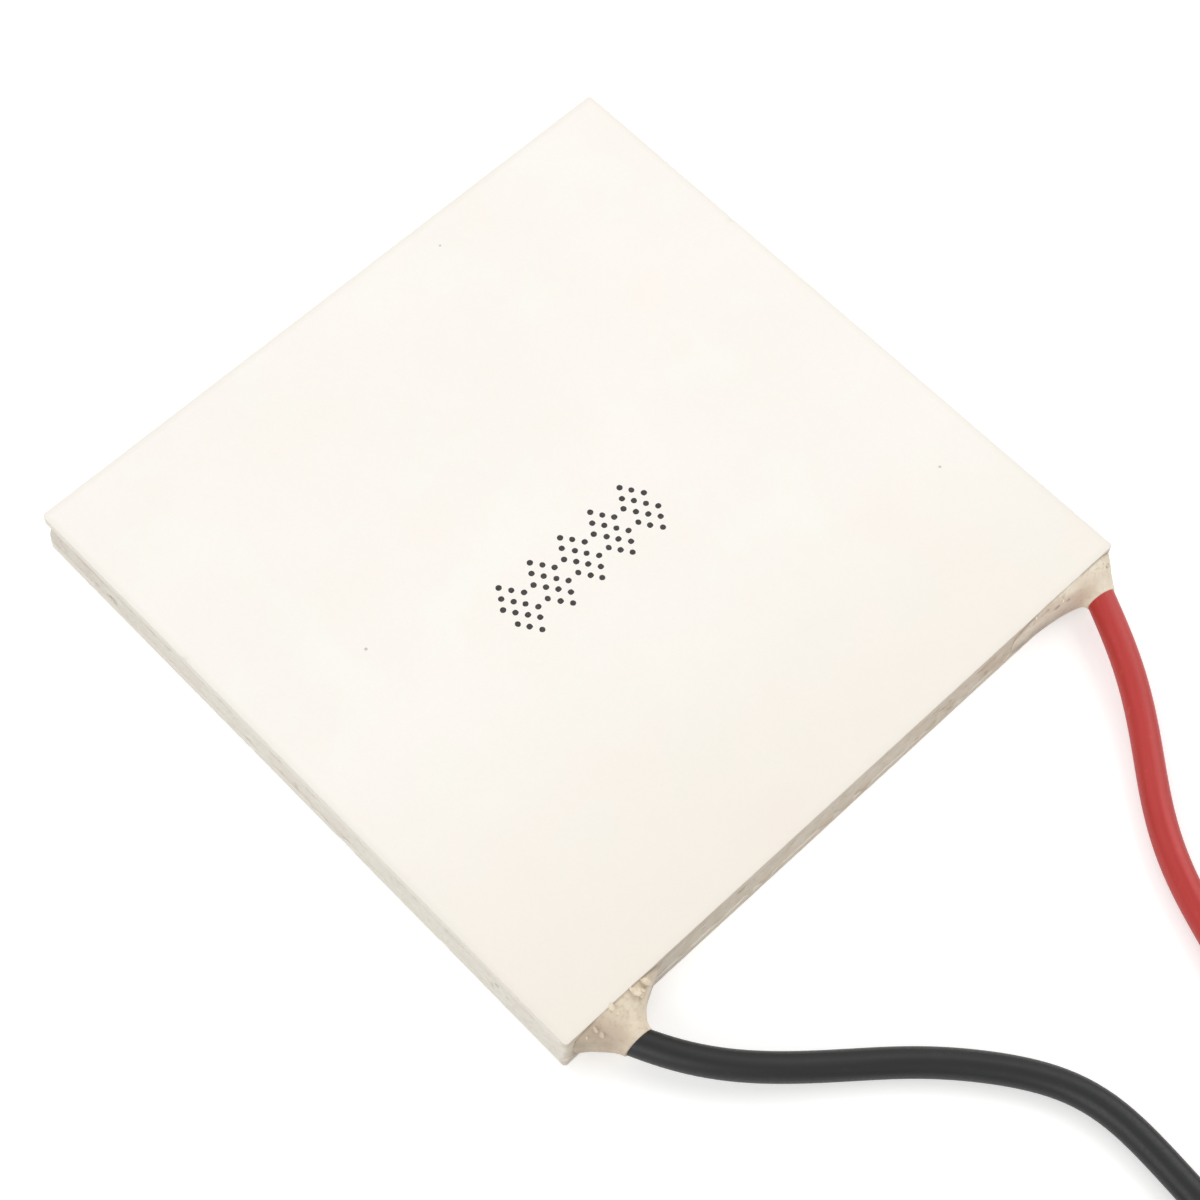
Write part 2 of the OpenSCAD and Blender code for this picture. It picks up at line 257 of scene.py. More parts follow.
def evenly(points, length, spacing):
    # The same line in equal steps, cut off at a length
    run = np.concatenate([[0], np.cumsum(np.linalg.norm(np.diff(points, axis=0), axis=1))])
    at = np.linspace(0, length, int(round(length / spacing)) + 1)
    return np.stack([np.interp(at, run, points[:, k]) for k in range(3)], axis=-1)


def softened(line, reach):
    # Averages over neighbours by exp(-(distance / reach)^2 / 2) up to three reaches away,
    # and then gives back the average of what that took, so that tight bends keep their
    # radius
    count = int(3 * reach / lead["spacing"])
    weight = np.exp(-(np.arange(-count, count + 1) * lead["spacing"] / reach) ** 2 / 2)
    weight /= weight.sum()

    def average(rows):
        before = 2 * rows[:1] - rows[count:0:-1]
        after = 2 * rows[-1:] - rows[-2:-count - 2:-1]
        padded = np.vstack([before, rows, after])
        return np.stack([np.convolve(padded[:, k], weight, "valid") for k in range(3)], axis=-1)

    once = average(line)
    return once + average(line - once)


def leadLine(colour):
    # The route, then a flat spiral that closes in by one thickness for each turn:
    # radius = first radius - thickness * angle / one turn
    own = leads[colour]
    low, high = boxOf(colour + "_lead_coil")
    own["centre"] = (low + high) / 2
    route = own["route"] + np.array([*own["corner"], lead["thickness"] / 2])
    turns = np.arange(0, lead["coilTurns"], 1 / lead["coilPoints"])
    radius = lead["coilRadius"] - lead["thickness"] * turns
    angle = math.radians(own["from"]) + own["turn"] * 2 * math.pi * turns
    spiral = own["centre"] + np.stack(
        [radius * np.cos(angle), radius * np.sin(angle), 0 * angle], axis=-1)
    line = smoothLine(np.vstack([route, spiral]), lead["curveSteps"])
    line = softened(evenly(line, lead["length"], lead["spacing"]), lead["softness"])
    return evenly(line, lead["length"], lead["spacing"])


def makeLead(colour):
    # A round tube along the line. The far end is cut square with a small rim, and closes in
    # on the bare wire.
    line = leadLine(colour)
    own = leads[colour]
    own["line"] = line
    own["ahead"] = unit(line[1] - line[0])
    own["mouth"] = line[0] + lead["embedded"] * own["ahead"]
    r = lead["thickness"] / 2
    past = np.array(lead["cutPast"])[:, None]
    path = np.vstack([line, line[-1] + unit(line[-1] - line[-2]) * past])
    radii = [*np.full(len(line), r), *(r * share for share in lead["cutRim"]),
             *(lead["wire"] * share for share in lead["cutHollow"])]
    ahead = unit(np.gradient(line, axis=0))
    ahead = np.vstack([ahead, np.repeat(ahead[-1:], len(past), axis=0)])
    grid = sweep(path, rings(radii, lead["sides"]), ahead)
    piece = putPiece(colour + "Lead", [grid], sharp=50)
    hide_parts(colour + "_lead", colour + "_lead_coil")
    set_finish(piece, colour + "_pvc")
    return piece


tip = {
    "length": 6 * mm,
    "hidden": 0.4 * mm,  # inside the insulation
    "bend": 3.5 * mm,  # radius
    "strands": 6,  # round a middle one
    "sides": 8,
    "lay": 5 * mm,  # length of one twist
    "spacing": 0.15 * mm,
    "endArea": 0.35,  # of a strand where it is snipped, as a share of its full area
}


def makeTip(colour):
    # Seven strands: one along an arc, and six that wind round it as helices. A strand's
    # radius is a sixth of the wire, times the root of its share of the full area.
    own = leads[colour]
    line = own["line"]
    ahead = unit(line[-1] - line[-2])
    inward = unit((own["centre"] - line[-1]) * [1, 1, 0])
    count = int((tip["length"] + tip["hidden"]) / tip["spacing"])
    run = np.linspace(-tip["hidden"], tip["length"], count)[:, None]
    angle = run / tip["bend"]
    ahead = unit(ahead - inward * np.dot(ahead, inward))
    arc = line[-1] + tip["bend"] * (np.sin(angle) * ahead + (1 - np.cos(angle)) * inward)
    strand = lead["wire"] / 6
    area = np.clip((run[-1, 0] - run[:, 0]) / strand, tip["endArea"], 1)
    grids = []
    for k in range(tip["strands"] + 1):
        offset = 0 if k == tip["strands"] else 2 * strand
        phase = 2 * math.pi * (run[:, 0] / tip["lay"] + k / tip["strands"])
        centre = offset * compass(phase)
        profile = rings(strand * area ** 0.5, tip["sides"]) + centre[:, None]
        grids.append(sweep(arc, profile))
    piece = putPiece(colour + "LeadTip", grids, sharp=60)
    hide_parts(colour + "_lead_tip")
    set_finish(piece, "tinned_copper")
    return piece


tie = {
    "width": 2.4 * mm,
    "skin": 0.1 * mm,
    "core": 0.2 * mm,  # height over the wire in its middle
    "coreWidth": 0.12,  # as a share of the width
    "clear": 0.02 * mm,  # between the band and the turns
    "bendPoints": 13,
    "runPoints": 7,
    "acrossPoints": 9,
    "twistLength": 5 * mm,
    "twistWidth": 0.8 * mm,
    "twistLift": 0.3 * mm,  # of its middle line over the band
    "twists": 2.5,
    "twistPoints": 60,
    "twistSides": 12,
    # Middle, half thickness and half width of each wound band, as shares of half the width
    "oval": (0.38, 0.24, 0.8),
}
upward = np.array([0, 0, 1.0])


def makeTie(colour):
    # The tie crosses the turns on the side away from where the coil starts
    own = leads[colour]
    direction = math.radians(own["from"] + 180)
    radial = np.array([math.cos(direction), math.sin(direction), 0])
    inner = np.linalg.norm((own["line"][-1] - own["centre"])[:2])
    outer = lead["coilRadius"]
    return [makeBand(colour, radial, inner, outer),
            makeTwist(colour, radial, (inner + outer) / 2)]


def makeBand(colour, radial, inner, outer):
    # A flat profile with a ridge, skin + (core - skin) * exp(-(across / core width)^2) high,
    # carried round the turns along a stadium of two half circles and two straight runs
    centre, r = leads[colour]["centre"], lead["thickness"] / 2
    along = np.array([-radial[1], radial[0], 0])
    half = np.linspace(-math.pi / 2, math.pi / 2, tie["bendPoints"])
    bend = compass(half) * r
    run = np.linspace(0, 1, tie["runPoints"] + 2)[1:-1, None] * [outer - inner, 0]
    top, base = np.array([outer, r]) - run, np.array([inner, -r]) + run
    loop = np.vstack([bend + [outer, 0], top, -bend + [inner, 0], base])
    nearest = np.clip(loop[:, :1], inner, outer) * [1, 0]
    normal = unit(loop - nearest)
    across = np.linspace(-0.5, 0.5, tie["acrossPoints"])
    ridge = tie["skin"] + (tie["core"] - tie["skin"]) * np.exp(-(across / tie["coreWidth"]) ** 2)
    widths = np.concatenate([across, across[::-1]]) * tie["width"]
    heights = np.concatenate([np.full(len(across), tie["clear"]), ridge[::-1]])
    flat = loop[:, None] + normal[:, None] * heights[None, :, None]
    grid = (centre + flat[..., :1] * radial + flat[..., 1:] * upward
            + widths[None, :, None] * along)
    # The loop is carried the other way round, so that its faces point outwards
    band = putPiece(colour + "CoilTie", [grid[::-1]], alongClosed=True, sharp=40)
    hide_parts(colour + "_coil_tie")
    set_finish(band, "tie")
    return band


def makeTwist(colour, radial, middle):
    # The tie's two ends, wound round each other on top of the band: two ovals that stand
    # off the same middle line on opposite sides and turn about it
    steps = np.linspace(-0.5, 0.5, tie["twistPoints"])
    path = leads[colour]["centre"] + radial * (middle + steps[:, None] * tie["twistLength"]) \
        + upward * (lead["thickness"] / 2 + tie["core"] + tie["twistLift"])
    a = fullTurn(tie["twistSides"])[None, :, None]
    size = tie["twistWidth"] / 2
    off, thick, wide = tie["oval"]
    grids = []
    for k in range(2):
        phase = math.pi * (2 * tie["twists"] * steps + k)
        turned = compass(phase)[:, None]
        beside = np.stack([-np.sin(phase), np.cos(phase)], -1)[:, None]
        profile = size * (off + thick * np.cos(a)) * turned + size * wide * np.sin(a) * beside
        grids.append(sweep(path, profile))
    twist = putPiece(colour + "CoilTieEnds", grids, sharp=60)
    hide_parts(colour + "_coil_tie")
    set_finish(twist, "tie")
    return twist


pieces = {}
for colour in ("black", "red"):
    pieces[colour + "Lead"] = makeLead(colour)
    pieces[colour + "Tip"] = makeTip(colour)
    pieces[colour + "Tie"] = makeTie(colour)

print("stage: plates")

plate = {
    "corner": 0.25 * mm,  # radius
    "leastCorner": 0.05 * mm,  # radius of the innermost ring's corners
    "bevel": 0.035 * mm,
    "step": 0.2 * mm,  # between points along a side
    "cornerPoints": 7,
    "sideRows": 9,
    "innerRing": 1.6 * mm,  # how far in from the side a face's rings begin
    "rimWidth": 1.1 * mm,
    "edgeRings": (0.6 * mm, 0.3 * mm, 0.15 * mm),
    "chipDepth": 0.12 * mm,
    "chipDrop": 0.7,  # how much of that depth the face goes down
    "chipFace": 0.12 * mm,  # how far in from the side it does
    "chipReach": (0.05 * mm, 0.5 * mm),  # chips run out between these distances from it
    "chipHeight": 0.35,  # of a chip on the side, as a share of the thickness
    "chips": (0.7 * mm, 0.45, 0.95),  # size and levels of their noise
    "chipGroups": (2.8 * mm, -0.2, 0.7),
    "grain": 0.012 * mm,
    "grainSize": 0.3 * mm,
}


def squareOutline(half, corner, straightPoints, cornerPoints):
    # Points and outward directions round a square with rounded corners: up a side, round
    # its corner, and then the same a quarter turn on. A turn is a product with i.
    straight, bend = 2 * (half - corner), corner * math.pi / 2
    run = np.concatenate([np.linspace(0, straight, straightPoints, endpoint=False),
                          straight + np.linspace(0, bend, cornerPoints, endpoint=False)])
    angle = np.maximum(run - straight, 0) / corner
    x = half - corner + corner * np.cos(angle)
    y = np.minimum(run, straight) - straight / 2 + corner * np.sin(angle)
    place, out = x + 1j * y, np.exp(1j * angle)
    quarter = np.array([1, 1j, -1, -1j])[:, None]
    place, out = (quarter * place).ravel(), (quarter * out).ravel()
    return np.stack([place.real, place.imag], -1), np.stack([out.real, out.imag], -1)


def makePlate(name, node, slot, seed):
    # Rings from inside the underside's edge out, up the side and back over the top; a cap
    # fills each middle. Chips and grain take the outermost rings in by depth times noise.
    low, high = boxOf(node)
    half, thick = (high[0] - low[0]) / 2, high[2] - low[2]
    bevel = plate["bevel"]
    sidePoints = int(2 * half / plate["step"])
    face = [plate["innerRing"], plate["rimWidth"], *plate["edgeRings"], bevel]
    levels = np.linspace(bevel, thick - bevel, plate["sideRows"])
    insets = np.array(face + [0] * len(levels) + face[::-1])
    heights = np.concatenate([np.zeros(len(face)), levels, np.full(len(face), thick)])
    grid, normals = [], []
    for inset in insets:
        corner = max(plate["corner"] - inset / 2, plate["leastCorner"])
        ring, out = squareOutline(half - inset, corner, sidePoints, plate["cornerPoints"])
        grid.append(ring)
        normals.append(out)
    grid, normals = np.array(grid), np.array(normals)
    shape = grid.shape[:2]
    points = np.concatenate([grid, np.broadcast_to(heights[:, None, None], shape + (1,))],
                            axis=-1) + [0, 0, low[2]]
    nearSide = 1 - ease(insets, *plate["chipReach"])[:, None]
    fromFace = np.minimum(heights, thick - heights)
    nearFace = 1 - ease(fromFace, 0, plate["chipHeight"] * thick)[:, None]
    chips = patches(points, seed, *plate["chips"]) \
        * patches(points, seed + 5, *plate["chipGroups"]) * nearSide * nearFace
    grain = 1 + layered(points, plate["grainSize"], seed + 9)
    depth = plate["chipDepth"] * chips + plate["grain"] * grain * nearSide
    points[..., :2] -= normals * depth[..., None]
    side = np.sign(points[..., 2] - low[2] - thick / 2)
    points[..., 2] -= side * depth * plate["chipDrop"] * nearFace \
        * (insets[:, None] < plate["chipFace"])
    rim = np.broadcast_to((1 - np.clip(insets / plate["rimWidth"], 0, 1))[:, None], shape)
    piece = putPiece(name, [points], sharp=25, marks={"rim": rim, "chip": chips})
    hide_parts(node)
    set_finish(piece, slot)
    return piece


pieces["coldPlate"] = makePlate("coldPlate", "cold_plate", "alumina", 11)
pieces["hotPlate"] = makePlate("hotPlate", "hot_plate", "alumina", 47)

print("stage: sealant")

sealant = {
    "recess": 0.05 * mm,
    "width": 0.8 * mm,
    "corner": 0.6 * mm,  # radius
    "cornerPoints": 12,
    "step": 0.16 * mm,  # between points along a side
    "faceRows": 34,
    "groove": 0.13 * mm,  # depth of the line where it meets a plate
    "grooveWidth": 0.1 * mm,
    "grooveSize": 2.6 * mm,  # of the noise that its depth goes by
    "grooveShares": (0.45, 0.45, 0.5),  # steady, by that noise, and at the corner that has the gap
    "baseGroove": 0.6,  # the lower line's share of the depth
    "swell": 0.05 * mm,
    "ripple": 0.035 * mm,
    "broad": 3 * mm,  # sizes of broad and fine unevenness
    "fine": 0.6 * mm,
    "smear": 0.13 * mm,  # thickness of the film left on the plates' sides
    "smearSize": 1.3 * mm,
    "smearLevels": (-0.05, 0.4),  # of its noise
    "thinning": 0.85,  # by how much these go up to the film's edges
    "overlap": (0.52 * mm, 0.3 * mm),  # down over the hot plate, up over the cold one
    "voidDepth": 0.3 * mm,
    "voids": (0.4 * mm, 0.66, 0.9),  # size and levels of their noise
    "voidGroups": (3 * mm, -0.2, 0.6),
    "notch": 0.45 * mm,  # a gap under one corner of the top plate
    "notchReach": 1.1 * mm,
    "notchRise": (0.9 * mm, 0.3 * mm),  # below the top plate, from none to all of it
    "darkReach": 7 * mm,
    "darkening": 0.16,
    "grooveShade": 0.85,
    "proudest": 0.08 * mm,  # how far it may stand out past the plates
    "leastCorner": 0.02 * mm,  # what a deep place leaves of the corner's radius
}


def makeBead():
    # A closed loop between the plates. Its outer face is taken in by the recess, plus broad
    # and fine noise, a groove exp(-(distance / width)^2) at each plate, small voids and the
    # gap, less the film.
    half = coldHigh[0]
    low, high = hotHigh[2], coldLow[2]
    sidePoints = int(2 * half / sealant["step"])
    bends = sealant["cornerPoints"]
    ring, out = squareOutline(half, sealant["corner"], sidePoints, bends)
    inner, _ = squareOutline(half - sealant["width"], sealant["corner"] / 2, sidePoints, bends)
    under, over = sealant["overlap"]
    z = np.linspace(high + over, low - under, sealant["faceRows"])
    shape = (len(ring), len(z), 1)
    face = np.concatenate([np.broadcast_to(ring[:, None], shape[:2] + (2,)),
                           np.broadcast_to(z[None, :, None], shape)], axis=-1)
    outward = np.concatenate([out, np.zeros((len(out), 1))], axis=-1)[:, None]
    # The film is thickest at the gap and runs out over each plate's side
    past = np.maximum((z - high) / over, 0) + np.maximum((low - z) / under, 0)
    levels = (sealant["thinning"] * past + level for level in sealant["smearLevels"])
    smear = ease(layered(face, sealant["smearSize"], 91), *levels) * (1 - past ** 2)
    # Darker, and with deeper grooves, towards the corner that has the gap
    toCorner = np.linalg.norm(face[..., :2] - [coldLow[0], coldHigh[1]], axis=-1)
    nearGapCorner = np.exp(-(toCorner / sealant["darkReach"]) ** 2)
    fromTop, fromBase = (high - z) / sealant["grooveWidth"], (z - low) / sealant["grooveWidth"]
    grooves = np.exp(-fromTop ** 2) + sealant["baseGroove"] * np.exp(-fromBase ** 2)
    steady, varied, cornered = sealant["grooveShares"]
    varied = varied * uneven(face * [1, 1, 0.2], sealant["grooveSize"], 77)
    grooves = grooves * (steady + varied + cornered * nearGapCorner) * (1 - smear)
    voids = patches(face * [1, 1, 1.6], 31, *sealant["voids"]) \
        * patches(face, 35, *sealant["voidGroups"]) * (past == 0)
    notch = np.exp(-(toCorner / sealant["notchReach"]) ** 2) \
        * ease(face[..., 2], *(high - down for down in sealant["notchRise"]))
    depth = sealant["recess"] \
        + sealant["swell"] * layered(face, sealant["broad"], 3) * (past == 0) \
        + sealant["ripple"] * layered(face, sealant["fine"], 21) \
        + sealant["groove"] * grooves + sealant["voidDepth"] * voids \
        - sealant["smear"] * smear + sealant["notch"] * notch
    depth = np.clip(depth, -sealant["proudest"], sealant["corner"] - sealant["leastCorner"])
    face = face - outward * depth[..., None]
    back = np.stack([np.concatenate([inner, np.full((len(inner), 1), level)], -1)
                     for level in (z[-1], z[0])], axis=1)
    grid = np.concatenate([back, face], axis=1)
    clean = np.zeros(back.shape[:2])
    # Painted shade: browner in the voids and in the grooves where it meets the plates
    shade = np.maximum(voids, sealant["grooveShade"] * np.clip(grooves, 0, 1))
    piece = putPiece("sealantBead", [grid], alongClosed=True, sharp=60, marks={
        "creviceShade": np.concatenate([clean, shade], axis=1),
        "low": np.concatenate([clean, sealant["darkening"] * nearGapCorner], axis=1)})
    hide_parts("sealant")
    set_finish(piece, "silicone")
    return piece


lump = {
    # Start and end are along the module's side, from its corner. The hollows are those of
    # the left and right flank. Square is how far the sections turn to face the lead.
    "black": {"start": 0.6 * mm, "end": 6.4 * mm, "hollows": (1.5, 1.9), "square": 0.0,
              "cornerShade": 1.0},
    "red": {"start": -7.6 * mm, "end": -0.25 * mm, "hollows": (2.6, 1), "square": 0.45,
            "cornerShade": 0.0},
    "top": 0.02 * mm,  # below the module's top where it starts
    "base": 0.25 * mm,  # above its underside
    "skin": 0.07 * mm,  # over the insulation
    "rows": 46,
    "sides": 96,
    "dents": (0.16 * mm, 1.5 * mm),  # depth and size
    "ripple": (0.07 * mm, 0.6 * mm),
    "calm": 0.75,  # how much less uneven it is where it holds the lead
    "pitDepth": 0.16 * mm,
    "pits": (0.36 * mm, 0.42, 0.85),  # size and levels of their noise
    "pitGroups": (1.6 * mm, -0.4, 0.3),
    "pitDrop": 1.2 * mm,  # how far below the cold plate they run out
    "pitReach": (0.3, 0.65),  # and between which shares of the lump's length
    "pitShade": 0.7,
    "jointShade": 0.75,  # of the line where its top meets the plates
    "jointWidth": 0.04,  # as a share of the length
    "jointGaps": (0.8 * mm, -0.6, 0.4),  # the noise that breaks the line up
    "innerShade": 0.5,
    "slack": 0.02 * mm,  # between it and the plates, where it goes in between them
    "tongue": (0.5 * mm, 0.01 * mm),  # how far in its two sections stand there
    "lip": 0.09 * mm,
    "lipRoll": 1.3,  # how far it rolls in, in heights of the lip
    "lipShades": (0, 0.1, 0.35, 0.8, 1),  # darker towards the insulation
    "lowShade": (0.5 * mm, 2.5 * mm),  # heights between which it runs out
    "lowReach": (0.4, 0.9),  # and shares of the length
    "cornerReach": 2 * mm,
}


def lumpSections(colour, t, angle):
    # Sections from a rounded slab at the plates' side to a circle round the lead. Each is
    # |cos| and |sin| of the angle to a power that goes from 1/2 to 1, and its two flanks
    # close in by 1 - (1 - t) to the power of their hollow.
    own, plan = leads[colour], lump[colour]
    corner, end = own["corner"], own["mouth"]
    r = lead["thickness"] / 2 + lump["skin"]
    heading = unit(own["ahead"][:2])
    square = np.array([-heading[1], heading[0]])  # square to the lead
    cut = unit((1 - plan["square"]) * np.array([1, 0]) + plan["square"] * square)
    across = unit((1 - t) * [1, 0] + t * cut)
    wide = r / np.dot(cut, square)
    blendLeft, blendRight = (1 - (1 - t) ** hollow for hollow in plan["hollows"])
    left = (corner[0] + plan["start"]) * (1 - blendLeft) + (end[0] - wide) * blendLeft
    right = (corner[0] + plan["end"]) * (1 - blendRight) + (end[0] + wide) * blendRight
    low = (hotLow[2] + lump["base"]) * (1 - t) + (end[2] - r) * t
    high = (coldHigh[2] - lump["top"]) * (1 - t) + (end[2] + r) * t
    power = 0.5 + 0.5 * t
    u = np.sign(np.cos(angle)) * np.abs(np.cos(angle)) ** power * (right - left) / 2
    v = np.sign(np.sin(angle)) * np.abs(np.sin(angle)) ** power * (high - low) / 2
    centre = np.concatenate([(left + right) / 2, corner[1] * (1 - t) + end[1] * t], -1)
    return np.concatenate([centre[:, None] + u[..., None] * across[:, None],
                           ((low + high) / 2 + v)[..., None]], axis=-1)


def makeLump(colour, seed):
    # The sections, moved in and out by noise, with two more between the plates at one end
    # and at the other a lip: a quarter circle from the last section in over the insulation
    own = leads[colour]
    corner, mouth = own["corner"], own["mouth"]
    sides = lump["sides"]
    t = np.linspace(0, 1, lump["rows"])[:, None]
    angle = (np.arange(sides) + 0.5) * 2 * math.pi / sides
    grid = lumpSections(colour, t, angle)
    # Hand-pressed unevenness, less of it where the sealant holds the lead
    out = unit(grid - grid.mean(axis=1, keepdims=True))
    free = 1 - lump["calm"] * t
    dents = lump["dents"][0] * uneven(grid, lump["dents"][1], seed) \
        + lump["ripple"][0] * layered(grid, lump["ripple"][1], seed + 3)
    pits = patches(grid, seed + 7, *lump["pits"]) \
        * patches(grid, seed + 9, *lump["pitGroups"]) \
        * ease(grid[..., 2], coldLow[2] - lump["pitDrop"], coldLow[2]) \
        * (1 - ease(t, *lump["pitReach"]))
    grid = grid + out * (dents * free - lump["pitDepth"] * pits * free)[..., None]
    # Painted shade along the line where its top meets the plates, and in the pits
    joint = lump["jointShade"] * np.exp(-(t / lump["jointWidth"]) ** 2) \
        * ease(np.sin(angle), 0, 0.6) * patches(grid, seed + 12, *lump["jointGaps"])
    shade = np.maximum(lump["pitShade"] * pits, joint)
    grid[..., 1] = np.minimum(grid[..., 1], corner[1])
    own["surface"] = grid
    # Inside the gap between the plates, where the lump joins the bead
    gap = np.clip(grid[:1], [-1, -1, hotHigh[2] + lump["slack"]],
                  [1, 1, coldLow[2] - lump["slack"]])
    inner = [gap + [0, far, 0] for far in lump["tongue"]]
    roll = np.linspace(0, math.pi / 2, len(lump["lipShades"]))[1:, None, None]
    share = lump["lip"] * lump["lipRoll"] / (lead["thickness"] / 2 + lump["skin"])
    lip = grid[-1:] + (mouth - grid[-1:]) * share * (1 - np.cos(roll)) \
        + own["ahead"] * lump["lip"] * np.sin(roll)
    inside = lip[-1:] + (mouth - lip[-1:]) * 0.3
    grid = np.concatenate([*inner, grid, lip, inside], axis=0)
    # Painted shade in the gap round the insulation at the lip, and between the plates
    rim = np.array(lump["lipShades"])[:, None] * np.ones((1, sides))
    shade = np.concatenate([np.full((2, sides), lump["innerShade"]), shade, rim])
    # Painted shade: darker low down, where the underside is in shadow, and at the module's
    # corner
    toCorner = np.abs(grid[..., 0] - corner[0])
    reached = np.concatenate([[0, 0], t[:, 0], np.ones(len(rim))])[:, None]
    darkening = np.maximum(
        (1 - ease(grid[..., 2], *lump["lowShade"])) * (1 - ease(reached, *lump["lowReach"])),
        np.exp(-(toCorner / lump["cornerReach"]) ** 2) * lump[colour]["cornerShade"])
    darkening = darkening * (0.75 + 0.25 * uneven(grid, 0.7 * mm, 4))
    piece = putPiece(colour + "LeadLump", [grid], sharp=60, marks={"creviceShade": shade, "low": darkening})
    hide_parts("sealant")
    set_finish(piece, "silicone")
    return piece


crumbs = {
    # Knobs are larger crumbs: row, column and size of each
    "black": {"count": 9, "sizes": (0.1 * mm, 0.34 * mm),
              "knobs": ((5, 15, 0.34 * mm), (6, 20, 0.32 * mm), (9, 16, 0.2 * mm))},
    "red": {"count": 30, "sizes": (0.03 * mm, 0.1 * mm), "knobs": ()},
    "firstRow": 2,
    "reach": 0.3,  # how far out along the lump they lie
    "around": (0.11, 0.3),  # where they start round it, and how much of it they take
    "stretch": (0.6, 0.6),  # the least, and what chance may add
    "rows": 7,
    "sides": 12,
    "lumpy": 0.4,  # share of the radius that is uneven
    "lumpSize": 0.9,  # in radii
    "flat": 0.6,  # share of the height that is pressed away
    "proud": 0.08,  # how far the middle stands off the surface, in radii
    "shade": 0.5,
    "shadeLevels": (-0.3, 0.7),  # heights between which it runs out, in radii
}


def makeCrumbs(colour, seed):
    # Small lumps of set sealant: a ball whose radius goes up and down with noise, pressed
    # flat along the surface's outward direction and sunk in it
    surface = leads[colour]["surface"]
    rows, columns = surface.shape[:2]
    plan = crumbs[colour]
    pick = np.random.default_rng(seed)
    turn = (np.arange(crumbs["rows"]) + 0.5) * math.pi / crumbs["rows"]
    a = fullTurn(crumbs["sides"])
    ball = np.stack([np.sin(turn)[:, None] * np.cos(a), np.sin(turn)[:, None] * np.sin(a),
                     np.repeat(-np.cos(turn)[:, None], len(a), axis=1)], axis=-1)
    spots = [(row, column, size, np.ones(3)) for row, column, size in plan["knobs"]]
    for k in range(plan["count"]):
        spots.append((int(crumbs["firstRow"] + pick.random() ** 2 * crumbs["reach"] * rows),
                      int((crumbs["around"][0] + crumbs["around"][1] * pick.random()) * columns),
                      plan["sizes"][0] + pick.random() ** 2.5 * np.ptp(plan["sizes"]),
                      crumbs["stretch"][0] + crumbs["stretch"][1] * pick.random(3)))
    grids, darkening = [], []
    for k, (row, column, size, stretch) in enumerate(spots):
        place = surface[row, column]
        outward = unit(place - surface[row].mean(axis=0))
        lumpy = 1 + crumbs["lumpy"] * uneven(ball + 3 * k, crumbs["lumpSize"], seed)
        spot = ball * (size * lumpy)[..., None] * stretch
        height = spot @ outward
        pressed = spot - crumbs["flat"] * height[..., None] * outward
        grids.append(place + outward * size * crumbs["proud"] + pressed)
        # Painted shade: darker towards the lump that it sits on, round its base
        low, high = (level * size for level in crumbs["shadeLevels"])
        darkening.append(crumbs["shade"] * (1 - ease(height, low, high)).ravel())
    darkening = np.concatenate(darkening)
    piece = putPiece(colour + "LeadCrumbs", grids, sharp=30,
                     marks={"creviceShade": 0 * darkening, "low": darkening})
    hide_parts("sealant")
    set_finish(piece, "silicone")
    return piece


pieces["bead"] = makeBead()
for colour, seed in (("black", 60), ("red", 83)):
    pieces[colour + "Lump"] = makeLump(colour, seed)
    pieces[colour + "Crumbs"] = makeCrumbs(colour, seed + 20)

print("stage: ink")

ink = {
    "dot": 0.17 * mm,  # radius
    "height": 0.006 * mm,
    # A dot's rings: share of its radius and of its height. The first is sunk in the plate.
    "dome": ((1.0, -0.5), (0.98, 0.4), (0.8, 0.85), (0.3, 1.0)),
    "pitch": (0.375 * mm, 0.545 * mm),
    "advance": 2.185 * mm,  # from one lattice to the next
    "start": (-6.13 * mm, -2.9 * mm),  # lower left dot
    "repeats": 5,
    "sides": 14,
    "astray": 0.03 * mm,  # how far a dot may be off its place
    "ragged": 0.08,  # how uneven its edge is, as a share of the radius
}


def inked(column, row):
    # Every second dot of a 5 by 7 field, inside a lozenge
    return (column + row) % 2 == 1 and abs(column) + abs(row) <= 3


def makeInk():
    # The same lattice of dots, repeated in a row. Each dot is a low dome: its middle, plus
    # the cosine and sine of the angle times each ring's share of an uneven radius.
    grids = []
    a = fullTurn(ink["sides"])
    share, level = np.array(ink["dome"]).T[..., None]
    for k in range(ink["repeats"]):
        for column in range(-2, 3):
            for row in range(-3, 4):
                if not inked(column, row):
                    continue
                x = ink["start"][0] + k * ink["advance"] + (column + 2) * ink["pitch"][0]
                y = ink["start"][1] + (row + 3) * ink["pitch"][1]
                place = np.array([[x, y, k + column * 0.1]])
                x += ink["astray"] * uneven(place, 0.1 * mm, 5)[0]
                y += ink["astray"] * uneven(place, 0.1 * mm, 6)[0]
                edge = np.stack([x + np.cos(a), y + np.sin(a), 0 * a], -1)
                ragged = ink["ragged"] * uneven(edge, 0.6, 7 + row + 9 * column)
                radius = share * ink["dot"] * (1 + ragged)
                grids.append(np.stack([
                    x + radius * np.cos(a), y + radius * np.sin(a),
                    coldHigh[2] + level * ink["height"] + 0 * a], axis=-1))
    piece = putPiece("inkMarks", grids, sharp=60)
    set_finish(piece, "black_pvc")
    return piece


pieces["ink"] = makeInk()

print("stage: finishes")


class Wire:
    # A socket that takes the signs of arithmetic: each sign adds its own Math node
    def __init__(self, graph, socket):
        self.graph, self.socket = graph, socket

    def sum(self, operation, first, second):
        return self.graph.node("ShaderNodeMath", {"operation": operation}, {0: first, 1: second})

    def __add__(self, other):
        return self.sum("ADD", self, other)

    def __radd__(self, other):
        return self.sum("ADD", other, self)

    def __sub__(self, other):
        return self.sum("SUBTRACT", self, other)

    def __rsub__(self, other):
        return self.sum("SUBTRACT", other, self)

    def __mul__(self, other):
        return self.sum("MULTIPLY", self, other)

    def __rmul__(self, other):
        return self.sum("MULTIPLY", other, self)


